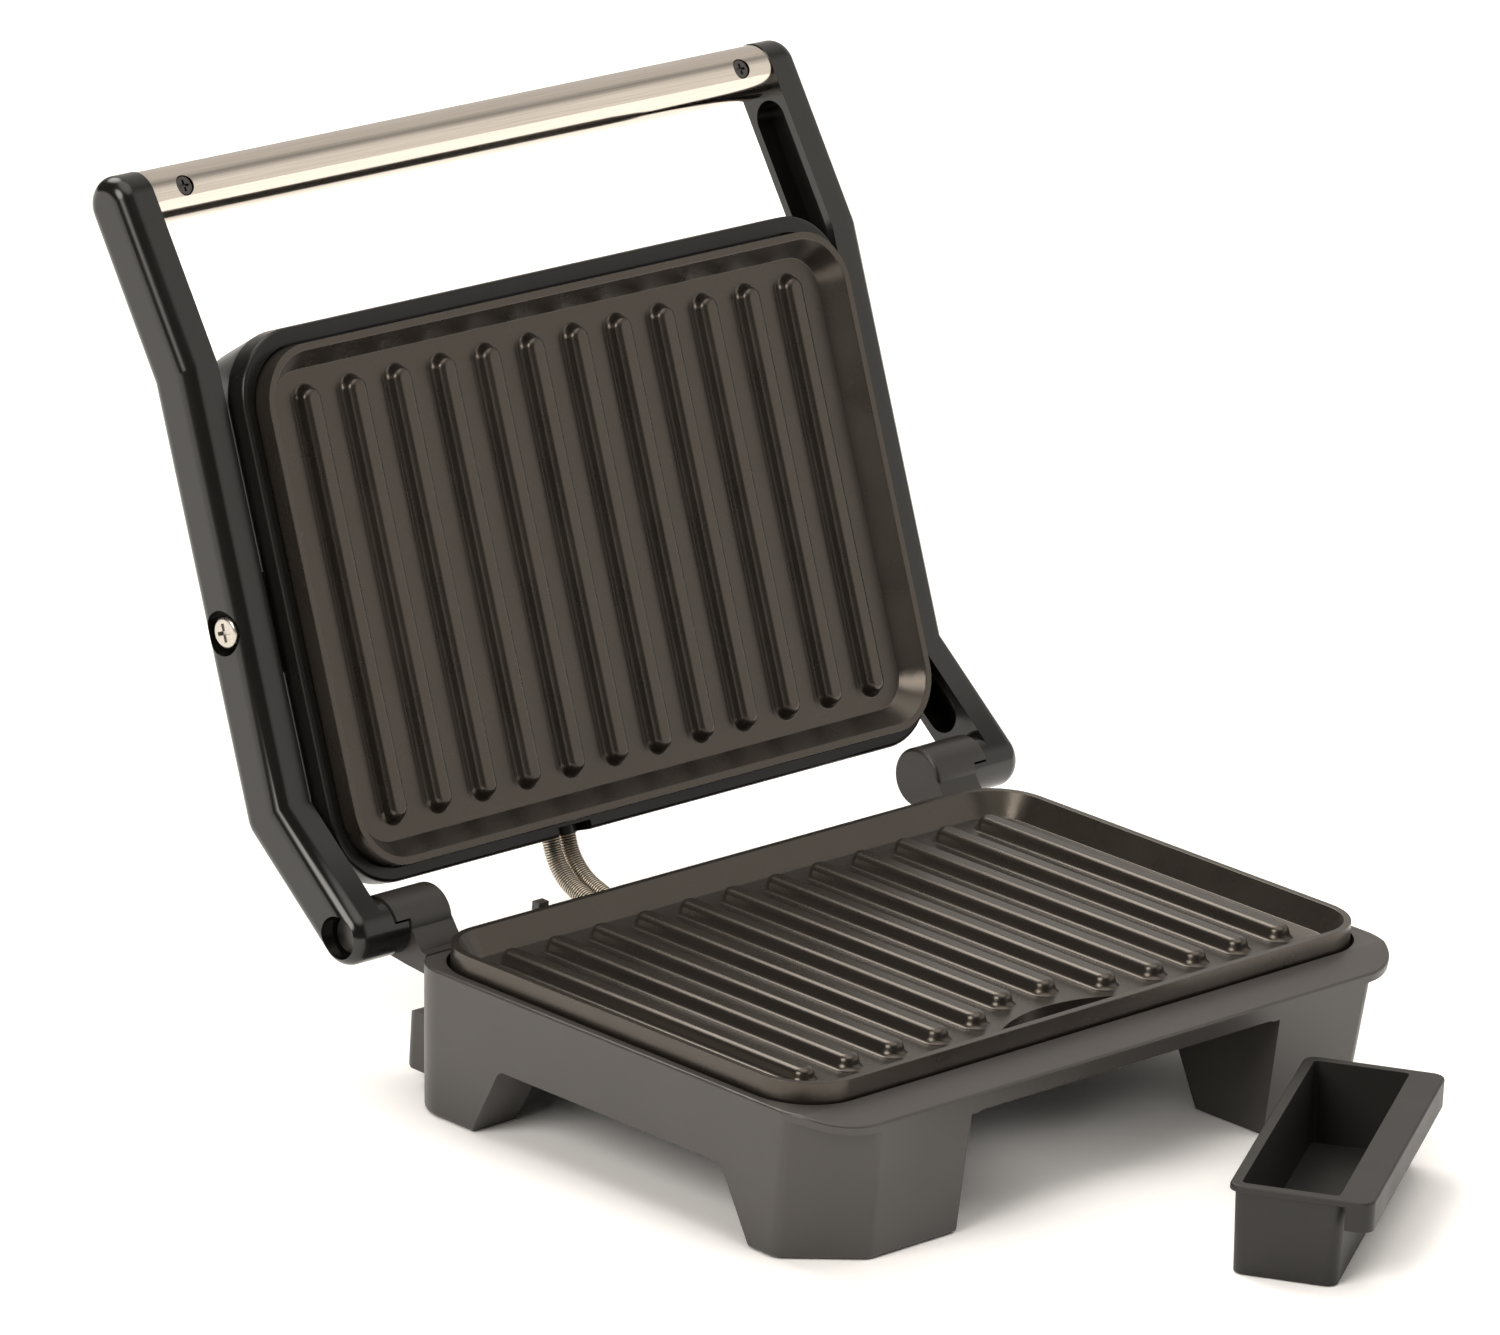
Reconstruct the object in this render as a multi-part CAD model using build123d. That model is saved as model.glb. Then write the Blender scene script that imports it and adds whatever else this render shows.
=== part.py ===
from build123d import *
import math
import os

# Table-top panini press, lid open, drip tray lying in front of it.
# Millimetres. X to the right, Y to the back, Z up, table at Z = 0.
# The middle of the lower plate lies over the origin.

# Cooking plates
PLATE_W = 240.0          # rim, left to right
PLATE_D = 155.0          # rim, front to back
PLATE_R = 18.0           # rim corner
RIM_Z = 52.0             # lower rim above the table
RIM_T = 2.2              # flat top of the rim
RIM_H = 7.0              # rim top to cooking floor
RIM_SLOPE = 5.0          # run of the sloping inside wall
PLATE_T = 5.5            # floor of the lower plate
UPPER_T = 3.5            # floor of the upper plate, lighter so that the press stands with its lid open
RIB_COUNT = 12
RIB_W = 10.4             # at the foot
RIB_STEPS = ((0.45, 60.0), (0.75, 36.0), (3.0, 16.0))   # height and slope of root, flank and top, in degrees
RIB_EDGE = 20.2          # rim side to first rib's middle
RIB_END = 11.2           # rim front or back to rib end
RIB_END_LOW = 15.7       # the same at the front of the lower plate
RIB_TOP_R = 2.2
DRAIN_R = 51.3           # arc of the crescent drain at the front
DRAIN_BACK = 21.0        # rim front to the arc's furthest point
DRAIN_DEPTH = 13.0
DRAIN_CLEAR = 4.8        # drain to the rib ends behind it

# Base body
SIDE_LEDGE = 4.3
FRONT_LEDGE = 14.0
FRONT_DROP = 3.0         # fall of the front ledge
REAR_LEDGE = 3.5
RIM_SHOW = 6.0           # rim standing above the base top
WALL = 2.5
CORNER_CUT = 17.0        # bevel on each front corner, along the side
CORNER_CUT_X = 21.0      # along the front
CORNER_CUT_R = 5.0       # rounding of the bevel's edges
CORNER_FRONT = 21.0      # front corners of the lip above the bevels
LIP_BAND = 2.8           # height of that lip
CORNER_REAR = 13.0
SIDE_DRAFT = 3.9         # degrees
FRONT_DRAFT = 5.0
TOP_ROUND = 1.8
FOOT_ROUND = 1.5
ARCH_Z = 22.5            # underside between the legs
ARCH_RUN = 11.7          # slope of the leg sides
ARCH_ROUND = 3.0         # corner between leg and underside
FRONT_FOOT = 27.0        # length of a front foot along Y, at the table
REAR_FOOT = 27.5
REAR_LEG_W = 18.0
BAY_W = 129.6            # opening between the front legs
BAND_H = 5.5             # front wall left above the opening
BAY_D = 47.0             # depth of the bay from the front
BAY_ROUND = 5.0
RAIL_T = 2.4
RAIL_DROP = 4.2          # tray rails below the bay roof
RAIL_BACK = 14.0         # rails behind the front wall
BASE_CLEAR = 1.2         # lower plate to its seat
SEAT_CLEAR = 0.6         # upper plate to its seat
LIP_T = 2.5
SKIRT_GAP = 4.0          # rear skirt above the table
REAR_BOX_D = 17.0
REAR_BOX_Z = 22.0
REAR_BOX_W = 213.0
GLAND_BORE = 6.4
GLAND_L = 14.0
OPEN_SIDE = 6.0          # opening under a plate: plate side to its edge
OPEN_FRONT_IN = 39.5     # plate front to its front edge
OPEN_REAR_IN = 15.5      # plate back to its rear edge
COVER_SCREW_Y = 28.0     # bottom cover's screws ahead of and behind the middle
TAB_AT = 0.593           # place of the tab on the rear edge, as a share of half the plate
TAB_W = 4.0
TAB_RISE = 6.7           # above the base top

# Hinge
HINGE_BACK = 17.0        # axis behind the plate's back edge
HINGE_DROP = 0.6         # axis below the lower rim
OPEN_ANGLE = 111.3       # lid as it stands open
RIM_GAP = 2.2            # between the two rims with the lid shut
BARREL_R = 8.8           # barrel of the arm
BASE_BARREL_R = 9.4      # barrel of the base
BARREL_SET = 18.4        # inner end of the base barrel inside the plate's side
BARREL_L = 16.4
STEP_L = 5.7             # teeth between the two barrels
STEP_GAP = 0.35          # between facing ends of the stepped barrels
PIN_D = 6.0
PIN_CLEAR = 0.3          # under the pin's head
PIN_RUN = 0.1            # round the pin
PIN_HEAD_D = 11.0
PIN_HEAD_T = 2.5
HINGE_RECESS_D = 13.0
HINGE_RECESS = 8.0

# Arms and handle
ARM_SIDE = 7.1           # plate side to arm
ARM_T = 12.3
ARM_DEPTH = 17.6
ARM_RISE = 21.8          # level part of the arm above the hinge axis
ELBOW_FWD = 37.3         # hinge axis to lower elbow, along Y
TOP_ELBOW = 1.9          # upper elbow behind the plate's front edge
HANDLE_FWD = 50.2        # handle axis ahead of the plate's front edge
HANDLE_RISE = 11.7       # handle axis above the level part
ARM_ROUND = 5.0
ARM_WEB = 2.6
ARM_POCKET = 6.5
HANDLE_D = 17.0
HANDLE_WALL = 0.8
SPIGOT_L = 24.0
SPIGOT_CLEAR = 0.2
HANDLE_SCREW_IN = 12.4   # screw from the arm's inside face
HANDLE_SCREW_HEAD = 5.6
HANDLE_SCREW_D = 2.8
HANDLE_DIMPLE_D = 6.4

# Lid
LID_SHIFT = 2.0          # shut lid behind the lower plate
LID_SIDE = 4.0           # frame beyond the rim
LID_FRONT = 5.5
LID_REAR = 4.6
LID_CORNER = 21.0
LID_SHOW = 6.0           # rim standing out of the frame
FRAME_STEP = 2.0         # rim on the frame inside the cover
LID_WALL = 2.0
COVER_H = 21.0
COVER_INSET = 5.0
COVER_ROUND = 6.0
PIVOT_D = 6.0
PIVOT_HEAD_D = 9.8
PIVOT_HEAD_T = 3.6
PIVOT_RECESS_D = 13.5
PIVOT_RECESS = 4.5
PIVOT_CLEAR = 0.3        # under the screw's head
PIVOT_RUN = 0.1          # round the screw
PAD_L = 30.0
PAD_H = 12.5
PAD_GAP = 0.4

# Heaters and small parts
EL_D = 6.5
EL_GROOVE = 2.0
EL_CLEAR = 0.2
EL_IN = 24.0             # loop inside the opening, left and right
EL_ENDS = 13.5           # loop inside the opening, front and back
EL_BEND = 14.0
PAN_T = 0.8
PAN_DEPTH = 6.0
PAN_FLANGE = 5.0
STUD_D = 8.0
STUD_X = 40.0
SCREW_D = 3.0
SCREW_HEAD_D = 6.4
SCREW_HEAD_T = 2.0
SCREW_BITE = 3.4
COVER_T = 2.5

# Ribbed conduits between lid and base
HOSE_D = 5.6
HOSE_GROOVE = 0.35
HOSE_BORE = 3.8
HOSE_PITCH = 0.8
HOSE_X = (-35.0, -28.2)
HOSE_IN = 2.4            # start inside the lid
HOSE_STUB = 5.0          # straight start
HOSE_BEND = 18.0
HOSE_FALL = 17.0         # degrees, slope where it enters the base
HOSE_EXIT_Z = 0.8        # outlet above the lid's split
HOSE_PLAY = 0.15         # in its ferrule and bush
SLEEVE_D = 6.5           # ferrules and bushes
SLEEVE_PLAY = 0.15
BUSH_L = 2.0
NOTCH_D = 2.9            # notch in the lid frame below the outlets

# Drip tray, lying in front of the base
TRAY_L = 112.6
TRAY_W = 42.0
TRAY_H = 27.3
TRAY_WALL = 2.0
TRAY_FLANGE = 3.4
TRAY_LEDGE = 10.4        # broad front edge
TRAY_APRON = 9.0
TRAY_DRAFT = 2.0         # degrees
TRAY_R = 4.0             # rim corners
TRAY_RETURN = 8.0        # front apron along the ends
TRAY_TURN = 31.0         # degrees, as it lies
TRAY_AT = (31.8, -144.7)

# Places that follow from the sizes above
HALF_W = PLATE_W / 2
HALF_D = PLATE_D / 2
LOW_DROP = RIM_H + PLATE_T
UP_DROP = RIM_H + UPPER_T
SEAT_Z = RIM_Z - LOW_DROP
BASE_TOP = RIM_Z - RIM_SHOW
BASE_HALF = HALF_W + SIDE_LEDGE
BASE_FRONT = HALF_D + FRONT_LEDGE
BASE_REAR = HALF_D + REAR_LEDGE
SIDE_IN = BASE_TOP * math.tan(math.radians(SIDE_DRAFT))
FRONT_IN = BASE_TOP * math.tan(math.radians(FRONT_DRAFT))
FOOT_FRONT = BASE_FRONT - FRONT_IN
LEDGE_Z = BASE_TOP - FRONT_DROP
BAY_BACK = BASE_FRONT - BAY_D
BAY_Z = SEAT_Z - LIP_T
BAY_LIP_Z = LEDGE_Z - BAND_H
HINGE_Y = HALF_D + HINGE_BACK
HINGE_Z = RIM_Z - HINGE_DROP
BARREL_IN = HALF_W - BARREL_SET
STEP_IN = BARREL_IN + BARREL_L
STEP_OUT = STEP_IN + STEP_L
ARM_IN = HALF_W + ARM_SIDE
ARM_OUT = ARM_IN + ARM_T
ARM_Z = HINGE_Z + ARM_RISE
UPPER_RIM_Z = RIM_Z + RIM_GAP
FRAME_Z = UPPER_RIM_Z + LID_SHOW
SPLIT_Z = UPPER_RIM_Z + UP_DROP + LIP_T
LID_TOP = SPLIT_Z + COVER_H
LID_HALF = HALF_W + LID_SIDE
LID_Y0 = LID_SHIFT - HALF_D - LID_FRONT
LID_Y1 = LID_SHIFT + HALF_D + LID_REAR
OPEN_FRONT = -HALF_D + OPEN_FRONT_IN
OPEN_REAR = HALF_D - OPEN_REAR_IN
OPEN_HALF = HALF_W - OPEN_SIDE
SCREW_X = HALF_W - 20.0
SCREW_Y = (OPEN_FRONT - 6.0, OPEN_REAR + 5.0)
HINGE = Axis((0, HINGE_Y, HINGE_Z), (1, 0, 0))


def swing(shape):
    """Turn a shape from the shut lid to the open lid."""
    return shape.rotate(HINGE, -OPEN_ANGLE)


def block(x0, x1, y0, y1, z0, z1):
    mid = ((x0 + x1) / 2, (y0 + y1) / 2, (z0 + z1) / 2)
    return Pos(*mid) * Box(x1 - x0, y1 - y0, z1 - z0)


def slab(w, d, r, z0, z1, y=0.0):
    """Upright slab with rounded corners."""
    return extrude(Pos(0, y, z0) * RectangleRounded(w, d, r), z1 - z0)


def rod_x(r, x0, x1, y, z):
    return Pos((x0 + x1) / 2, y, z) * Rot(0, 90, 0) * Cylinder(r, x1 - x0)


def rod_z(r, x, y, z0, z1):
    return Pos(x, y, (z0 + z1) / 2) * Cylinder(r, z1 - z0)


def prism_x(points, x0, x1):
    """Shape drawn in the Y-Z plane, drawn out along X."""
    face = make_face(Polyline(*points, close=True))
    return extrude(Plane.YZ.offset(x0) * face, x1 - x0)


def both(shape):
    """A shape and its mirror image left of the middle."""
    return shape + mirror(shape, Plane.YZ)


def outline(half, front, rear, r_front, r_rear):
    """Four-sided outline with its own corner radius front and rear."""
    face = make_face(Polyline((-half, -front), (half, -front), (half, rear), (-half, rear), close=True))
    face = fillet(face.vertices().group_by(Axis.Y)[-1], r_rear)
    return fillet(face.vertices().group_by(Axis.Y)[0], r_front)


def ring_of(points, fn):
    """The same small solid at several places, as one group."""
    return Compound(children=[fn(*p) for p in points])


def rounded(shape, edges, sizes):
    """Round edges with the first size that fits."""
    for size in sizes:
        try:
            done = fillet(edges, size)
            if done.is_valid:
                return done
        except Exception:
            continue
    return shape


# Heating element and plate, with the rim's top at Z = 0 and the floor below

def element_path(z):
    x = OPEN_HALF - EL_IN
    y0 = OPEN_FRONT + EL_ENDS
    y1 = OPEN_REAR - EL_ENDS
    corner = FilletPolyline((-20, y1, z), (-x, y1, z), (-x, y0, z), (x, y0, z), (x, y1, z), (20, y1, z),
                            radius=EL_BEND)
    return corner


def tube_on(path, r):
    start = path @ 0
    return sweep(Plane(start, z_dir=path % 0) * Circle(r), path)


def element_z(drop):
    return -drop - EL_D / 2 + EL_GROOVE


def heating_element(drop):
    path = element_path(element_z(drop))
    shape = tube_on(path, EL_D / 2)
    for at, way in ((path @ 0, 1), (path @ 1, -1)):
        x0, x1 = sorted((at.X, at.X + way * 9))
        shape += rod_x(1.6, x0, x1, at.Y, at.Z)
    return shape


def screw(x, y, z_seat, up):
    """Pan-head screw: head against z_seat, shank running along +Z or -Z."""
    shank = LIP_T + SCREW_BITE
    head = rod_z(SCREW_HEAD_D / 2, x, y, *sorted((z_seat, z_seat - up * SCREW_HEAD_T)))
    head -= block(x - 2.2, x + 2.2, y - 0.45, y + 0.45,
                  *sorted((z_seat - up * (SCREW_HEAD_T - 0.9), z_seat - up * (SCREW_HEAD_T + 1))))
    head -= block(x - 0.45, x + 0.45, y - 2.2, y + 2.2,
                  *sorted((z_seat - up * (SCREW_HEAD_T - 0.9), z_seat - up * (SCREW_HEAD_T + 1))))
    return head + rod_z(SCREW_D / 2, x, y, *sorted((z_seat, z_seat + up * shank)))


def plate_points():
    return [(sx * SCREW_X, y) for y in SCREW_Y for sx in (-1, 1)]


def stud_points():
    return [(sx * STUD_X, (OPEN_FRONT + OPEN_REAR) / 2) for sx in (-1, 1)]


def crescent(grow, z0, z1):
    """Drain slot: an arc bulging to the back, closed by a straight front."""
    back = -HALF_D + DRAIN_BACK
    shape = rod_z(DRAIN_R + grow, 0, back - DRAIN_R, z0, z1)
    return shape & block(-DRAIN_R, DRAIN_R, back - DRAIN_DEPTH - grow, back + 5, z0, z1)


def rib_front(x):
    """Front end of a lower rib, held back behind the drain's arc."""
    plain = RIB_END_LOW - HALF_D
    if abs(x) >= DRAIN_R:
        return plain
    arc = DRAIN_BACK - HALF_D - DRAIN_R + math.sqrt(DRAIN_R ** 2 - x ** 2)
    return max(plain, arc + DRAIN_CLEAR)


def rib(x, y0):
    """Rib from y0 to the back, on the cooking floor."""
    y1 = HALF_D - RIB_END
    bars = []
    z = 0
    drawn_in = 0
    for height, slope in RIB_STEPS:
        foot = SlotOverall(y1 - y0 - 2 * drawn_in, RIB_W - 2 * drawn_in, rotation=90)
        bars.append(Pos(0, 0, z) * extrude(foot, height, taper=slope))
        z += height
        drawn_in += height * math.tan(math.radians(slope))
    bars[-1] = rounded(bars[-1], bars[-1].faces().sort_by(Axis.Z)[-1].edges(), (RIB_TOP_R, RIB_TOP_R / 2))
    bar = bars[0]
    for more in bars[1:]:
        bar += more
    return Pos(x, (y0 + y1) / 2, -RIM_H) * bar


def cooking_plate(drop, drain):
    body = slab(PLATE_W, PLATE_D, PLATE_R, -drop, 0)
    top = Pos(0, 0, 0.01) * RectangleRounded(PLATE_W - 2 * RIM_T, PLATE_D - 2 * RIM_T, PLATE_R - RIM_T)
    low = RIM_T + RIM_SLOPE
    floor = Pos(0, 0, -RIM_H) * RectangleRounded(PLATE_W - 2 * low, PLATE_D - 2 * low, PLATE_R - low)
    body -= loft([floor, top])
    pitch = (PLATE_W - 2 * RIB_EDGE) / (RIB_COUNT - 1)
    for i in range(RIB_COUNT):
        x = -HALF_W + RIB_EDGE + i * pitch
        body += rib(x, rib_front(x) if drain else RIB_END - HALF_D)
    if drain:
        body -= crescent(0, -drop - 1, -RIM_H + 0.5)
    path = element_path(element_z(drop))
    body -= tube_on(path, EL_D / 2 + EL_CLEAR)
    for at, way in ((path @ 0, 1), (path @ 1, -1)):
        body -= rod_x(EL_D / 2 + EL_CLEAR, *sorted((at.X - way, at.X + way * 10)), at.Y, at.Z)
    for x, y in plate_points():
        body -= rod_z(SCREW_D / 2, x, y, -drop - 1, -drop + SCREW_BITE)
    for x, y in stud_points():
        body += rod_z(STUD_D / 2, x, y, -drop - PAN_DEPTH + PAN_T, -drop)
        body -= rod_z(SCREW_D / 2, x, y, -drop - PAN_DEPTH, -drop + SCREW_BITE - 1)
    return body


def reflector(drop):
    """Shallow sheet pan over the element, its flange against the plate."""
    x = OPEN_HALF - 4
    y0 = OPEN_FRONT + 3
    y1 = OPEN_REAR - 3
    z = -drop
    pan = block(-x + PAN_FLANGE, x - PAN_FLANGE, y0 + PAN_FLANGE, y1 - PAN_FLANGE, z - PAN_DEPTH, z)
    pan += block(-x, x, y0, y1, z - PAN_T, z)
    grow = PAN_FLANGE + PAN_T
    pan -= block(-x + grow, x - grow, y0 + grow, y1 - grow, z - PAN_DEPTH + PAN_T, z + 1)
    for px, py in stud_points():
        pan -= rod_z(SCREW_D / 2 + 0.2, px, py, z - PAN_DEPTH - 1, z)
    return pan


def pan_screws(drop):
    return ring_of(stud_points(), lambda x, y: screw(x, y, -drop - PAN_DEPTH, 1))


def plate_screws(drop):
    return ring_of(plate_points(), lambda x, y: screw(x, y, -drop - LIP_T, 1))


def thermostat():
    """Flat thermostat held between plate and pan."""
    z = -LOW_DROP
    y = (OPEN_FRONT + OPEN_REAR) / 2 + 18
    depth = PAN_DEPTH - PAN_T
    body = block(-12, 12, y - 7, y + 7, z - depth, z - 1.2) + block(-16, 16, y - 5, y + 5, z - 1.2, z)
    return body + rod_z(3, 0, y, z - depth, z)


def thermal_fuse():
    """One-shot fuse in its clip, held between plate and pan."""
    z = -LOW_DROP
    y = (OPEN_FRONT + OPEN_REAR) / 2 - 14
    depth = PAN_DEPTH - PAN_T
    clip = block(-5, 5, y - 4.5, y + 4.5, z - depth, z)
    return clip + rod_x(2.0, -14, 14, y, z - depth / 2)


def lower(shape):
    return Pos(0, 0, RIM_Z) * shape


def upper(shape):
    return swing(Pos(0, LID_SHIFT, UPPER_RIM_Z) * Rot(0, 180, 0) * shape)


# Base shell

def bevelled(half, front, rear, inset):
    """Outline with bevelled front corners and round rear ones, drawn in by inset."""
    slant = math.hypot(1 / CORNER_CUT, 1 / CORNER_CUT_X)
    cut = CORNER_CUT + inset * (CORNER_CUT * slant - CORNER_CUT / CORNER_CUT_X - 1)
    cut_x = CORNER_CUT_X + inset * (CORNER_CUT_X * slant - CORNER_CUT_X / CORNER_CUT - 1)
    face = make_face(Polyline((cut_x - half, -front), (half - cut_x, -front), (half, cut - front),
                              (half, rear), (-half, rear), (-half, cut - front), close=True))
    face = fillet(face.vertices().group_by(Axis.Y)[-1], CORNER_REAR - inset)
    return fillet([v for v in face.vertices() if v.Y < 0], max(CORNER_CUT_R - inset, 1.0))


def base_shape(inset, z0, z1):
    """The base's tapering body, drawn in by inset all round."""
    sections = []
    for z in (z0, z1):
        t = 1 - z / BASE_TOP
        half = BASE_HALF - SIDE_IN * t - inset
        front = BASE_FRONT - FRONT_IN * t - inset
        sections.append(Pos(0, 0, z) * bevelled(half, front, BASE_REAR - inset, inset))
    return loft(sections, ruled=True)


def base_lip():
    """Lip along the top, round at the front corners where the body below is bevelled."""
    face = outline(BASE_HALF, BASE_FRONT, BASE_REAR, CORNER_FRONT, CORNER_REAR)
    z = LEDGE_Z - 2 * LIP_BAND
    t = 1 - z / BASE_TOP
    low = outline(BASE_HALF - SIDE_IN * t, BASE_FRONT - FRONT_IN * t, BASE_REAR, CORNER_FRONT, CORNER_REAR)
    band = loft([Pos(0, 0, z) * low, Pos(0, 0, BASE_TOP) * face], ruled=True)
    far = BASE_HALF + 20
    over = block(-far, far, -FOLD_Y, far, BASE_TOP - LIP_BAND, BASE_TOP + 5)
    return band & (over + ledge_cut(LIP_BAND))


def arch_corner(y, way, x0, x1):
    """Rounding between a leg's sloping side and the underside; way points from leg to arch."""
    slope = math.atan2(ARCH_Z, ARCH_RUN)
    run = ARCH_ROUND * math.tan(slope / 2)
    foot = (y - way * run * math.cos(slope), ARCH_Z - run * math.sin(slope))
    corner = make_face(Polyline((y - way, ARCH_Z), (y + way * run, ARCH_Z), foot, (foot[0] - way, foot[1]),
                                close=True))
    corner -= Pos(y + way * run, ARCH_Z - ARCH_ROUND) * Circle(ARCH_ROUND)
    return extrude(Plane.YZ.offset(x0) * corner, x1 - x0)


def leg_prism(t):
    """Front and rear leg of the right side; t draws the walls in."""
    far = BASE_FRONT + 20
    y0 = FOOT_FRONT - FRONT_FOOT
    top = ARCH_Z + COVER_T
    slope = ARCH_RUN / ARCH_Z
    front = [(-far, t), (-y0 - t + slope * t, t), (-y0 - t + ARCH_RUN, ARCH_Z), (-y0 - t + ARCH_RUN, top),
             (-far, top)]
    y1 = BASE_REAR - REAR_FOOT
    rear = [(far, t), (y1 + t - slope * t, t), (y1 + t - ARCH_RUN, ARCH_Z), (y1 + t - ARCH_RUN, top),
            (far, top)]
    x_rear = BASE_HALF - SIDE_IN - REAR_LEG_W
    legs = prism_x(front, BAY_W / 2 + t, BASE_HALF + 20) + prism_x(rear, x_rear + t, BASE_HALF + 20)
    if t == 0:
        legs += arch_corner(-y0 + ARCH_RUN, 1, BAY_W / 2, BASE_HALF + 20)
        legs += arch_corner(y1 - ARCH_RUN, -1, x_rear, BASE_HALF + 20)
    return both(legs)


def bay(t):
    """Tray bay open to the front; t draws its walls out."""
    y1 = -BAY_BACK + t
    half = BAY_W / 2 + t
    return block(-half, half, -BASE_FRONT - 20, y1, -5, BAY_Z + t)


def hinge_places():
    return [(sx, sx * (BARREL_IN + STEP_IN) / 2) for sx in (-1, 1)]


def hose_line():
    """Start in the lid, its direction, both ends of the bend and the base inlet, in the Y-Z plane."""
    a = math.radians(OPEN_ANGLE)
    fall = math.radians(HOSE_FALL)
    c, s = math.cos(a), math.sin(a)
    dy = LID_Y1 - HOSE_IN - HINGE_Y
    dz = SPLIT_Z + HOSE_EXIT_Z - HINGE_Z
    start = (HINGE_Y + dy * c + dz * s, HINGE_Z - dy * s + dz * c)
    way = (c, -s)
    knee = (start[0] + HOSE_STUB * c, start[1] - HOSE_STUB * s)
    turn = (knee[0] - HOSE_BEND * (s - math.sin(fall)), knee[1] - HOSE_BEND * (math.cos(fall) + c))
    run = turn[0] - BASE_REAR
    return start, way, knee, turn, (BASE_REAR, turn[1] - run * math.tan(fall))


def hose_rod(x, r, length):
    """Round bar on the line along which a conduit enters the base."""
    into = hose_line()[4]
    return Pos(x, *into) * Rot(90 + HOSE_FALL, 0, 0) * Cylinder(r, length)


FOLD_Y = HALF_D + BASE_CLEAR + 0.4


def ledge_cut(down):
    """Wedge taken off the top so that the front ledge falls forward."""
    y = BASE_FRONT + 20
    fall = FRONT_DROP / (BASE_FRONT - FOLD_Y)
    z = BASE_TOP - down
    far = BASE_HALF + 20
    return prism_x([(-FOLD_Y, z), (-y, z - fall * (y - FOLD_Y)), (-y, z + 10), (-FOLD_Y, z + 10)], -far, far)


def base_shell():
    outer = base_shape(0, 0, BASE_TOP) + base_lip() - ledge_cut(0)
    fall = FRONT_DROP / (BASE_FRONT - FOLD_Y)
    top = [e for e in outer.edges() if abs(e.center().Y + FOLD_Y) > 0.1
           and abs(e.center().Z - BASE_TOP + fall * max(0, -e.center().Y - FOLD_Y)) < 0.05]
    outer = rounded(outer, top, (TOP_ROUND, TOP_ROUND / 2))
    outer = rounded(outer, outer.faces().sort_by(Axis.Z)[0].edges(), (FOOT_ROUND, FOOT_ROUND / 2))
    far = BASE_HALF + 20
    above = block(-far, far, -far, far, ARCH_Z, BASE_TOP + 1)
    skirt_half = BASE_HALF - SIDE_IN - REAR_LEG_W + WALL
    skirt = block(-skirt_half, skirt_half, BASE_REAR - WALL, far, SKIRT_GAP, ARCH_Z + COVER_T)
    body = outer & (above + leg_prism(0) + skirt)
    body -= bay(0)
    inner = base_shape(WALL, WALL, BASE_TOP - WALL) - ledge_cut(WALL)
    high = block(-far, far, -far, far, ARCH_Z + COVER_T, BASE_TOP)
    hatch = block(-far, far, -far, far, ARCH_Z - 1, ARCH_Z + COVER_T + 1) - leg_prism(0)
    body -= (inner & (high + leg_prism(WALL) + hatch)) - bay(WALL)
    grow = 2 * (BASE_CLEAR + WALL)
    seat = slab(PLATE_W + grow, PLATE_D + grow, PLATE_R + grow / 2, SEAT_Z - LIP_T, BASE_TOP) & outer
    body += seat
    body -= slab(PLATE_W + 2 * BASE_CLEAR, PLATE_D + 2 * BASE_CLEAR, PLATE_R + BASE_CLEAR,
                 SEAT_Z, BASE_TOP + 5)
    body -= block(-OPEN_HALF, OPEN_HALF, OPEN_FRONT, OPEN_REAR, SEAT_Z - LIP_T - 1, SEAT_Z + 1)
    body -= crescent(1.0, SEAT_Z - LIP_T - 5, SEAT_Z + 1)
    lip = block(-BAY_W / 2, BAY_W / 2, -far, -BASE_FRONT + FRONT_IN + WALL, -5, BAY_LIP_Z)
    lip = rounded(lip, lip.edges().filter_by(Axis.Y).group_by(Axis.Z)[-1], (BAY_ROUND,))
    body -= lip
    tab_x = -HALF_W * TAB_AT
    body += block(tab_x - TAB_W / 2, tab_x + TAB_W / 2, HALF_D + BASE_CLEAR, BASE_REAR + 0.6,
                  BASE_TOP - TAB_RISE, BASE_TOP + TAB_RISE)
    rail = block(TRAY_L / 2 - TRAY_FLANGE + 0.6, BAY_W / 2 + 0.5, -FOOT_FRONT + RAIL_BACK, -BAY_BACK + 0.5,
                 BAY_Z - RAIL_DROP - RAIL_T, BAY_Z - RAIL_DROP)
    body += both(rail)
    for x, y in plate_points():
        body -= rod_z(SCREW_D / 2 + 0.2, x, y, SEAT_Z - LIP_T - 1, SEAT_Z + 1)
    for x, y in cover_points():
        body += rod_z(4.0, x, y, ARCH_Z + COVER_T, SEAT_Z - LIP_T)
        body -= rod_z(SCREW_D / 2, x, y, ARCH_Z, ARCH_Z + COVER_T + SCREW_BITE)
    side = SLEEVE_D / 2 + SLEEVE_PLAY
    hole = Box(HOSE_X[1] - HOSE_X[0], 2 * side, 12)
    hole = Pos(sum(HOSE_X) / 2, *hose_line()[4]) * Rot(90 + HOSE_FALL, 0, 0) * hole
    for x in HOSE_X:
        hole += hose_rod(x, side, 12)
    return body - hole


def cover_points():
    return [(sx * (OPEN_HALF + 0.5), y) for y in (-COVER_SCREW_Y, COVER_SCREW_Y) for sx in (-1, 1)]


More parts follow.
